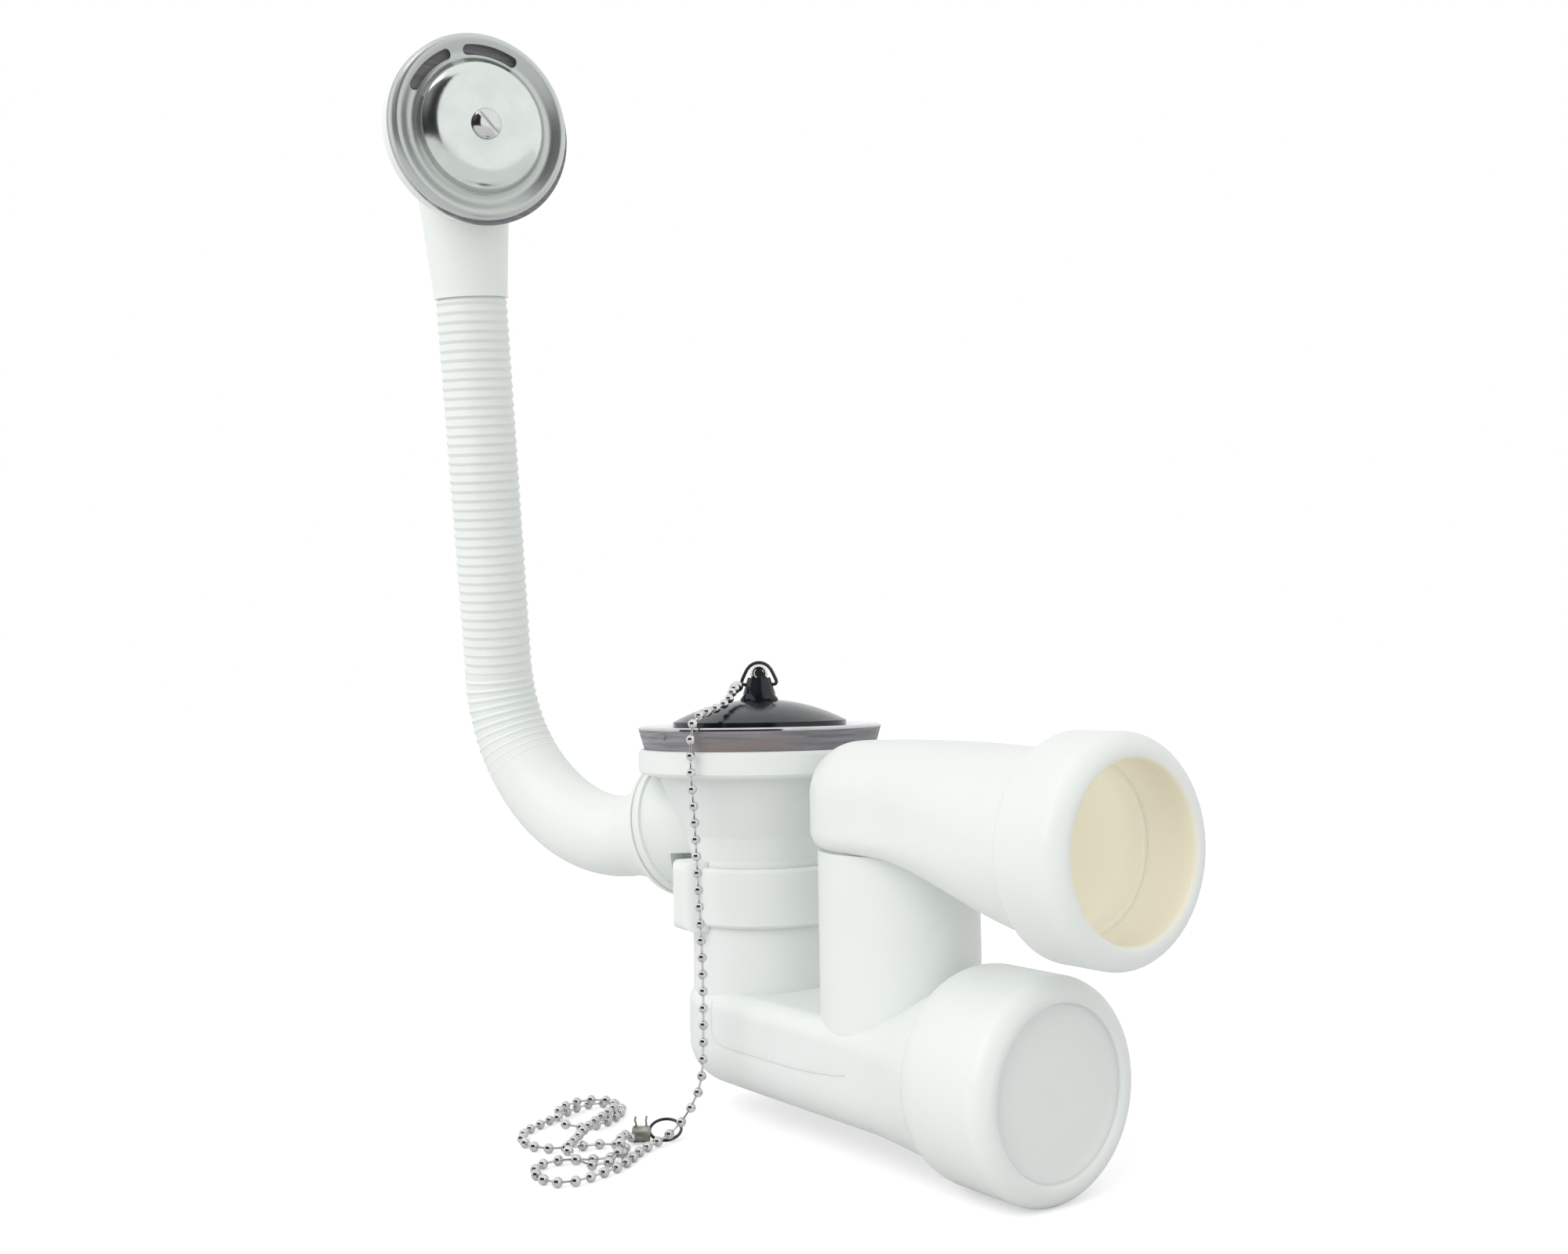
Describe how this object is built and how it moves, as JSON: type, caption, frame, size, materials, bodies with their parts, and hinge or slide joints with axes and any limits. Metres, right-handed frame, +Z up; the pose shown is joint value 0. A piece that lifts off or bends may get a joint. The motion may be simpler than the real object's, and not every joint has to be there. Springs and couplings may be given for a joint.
{
  "type": "bath waste and overflow",
  "caption": "Bath waste with flat white trap, side-by-side outlet and closed clean-out, corrugated overflow hose with round faceplate, and a rubber plug on a ball chain.",
  "frame": {"origin": "on the axis of the waste, in the plane where the bath floor is clamped between the flange washer and the gasket below it", "axes": "+Z up along the axis of the waste, -Y along the trap and the outlet, so the overflow stands on the +Y side"},
  "size_m": [0.119, 0.257, 0.3207],
  "materials": {
    "white_plastic": "smooth semi-gloss moulding",
    "hose_plastic": "soft satin",
    "grey_rubber": "satin, faint brown streaks",
    "cream_seal": "matte",
    "polished_steel": "polished",
    "brass": "turned",
    "black_rubber": "glossy",
    "dark_wire": "bright wire",
    "chain_metal": "bright nickel"
  },
  "bodies": {
    "root": {"waste_flange": "polished_steel", "flange_washer": "grey_rubber", "flange_gasket": "grey_rubber", "waste_body": "white_plastic", "waste_screw": "polished_steel", "waste_screw_insert": "brass", "coupling_nut": "white_plastic", "coupling_seal": "cream_seal", "trap_body": "white_plastic", "blanking_disc": "white_plastic", "outlet_elbow": "white_plastic", "outlet_collar": "white_plastic", "overflow_hose": "hose_plastic", "hose_seal": "cream_seal", "overflow_head": "white_plastic", "overflow_insert": "brass", "overflow_gasket": "grey_rubber", "overflow_faceplate": "polished_steel", "overflow_screw": "polished_steel", "plug": "black_rubber", "plug_stud": "polished_steel", "plug_ring": "dark_wire", "chain_top_coupling": "chain_metal", "chain": "chain_metal", "chain_heap": "chain_metal", "chain_end_coupling": "chain_metal", "chain_end_ring": "dark_wire"}
  },
  "joints": []
}
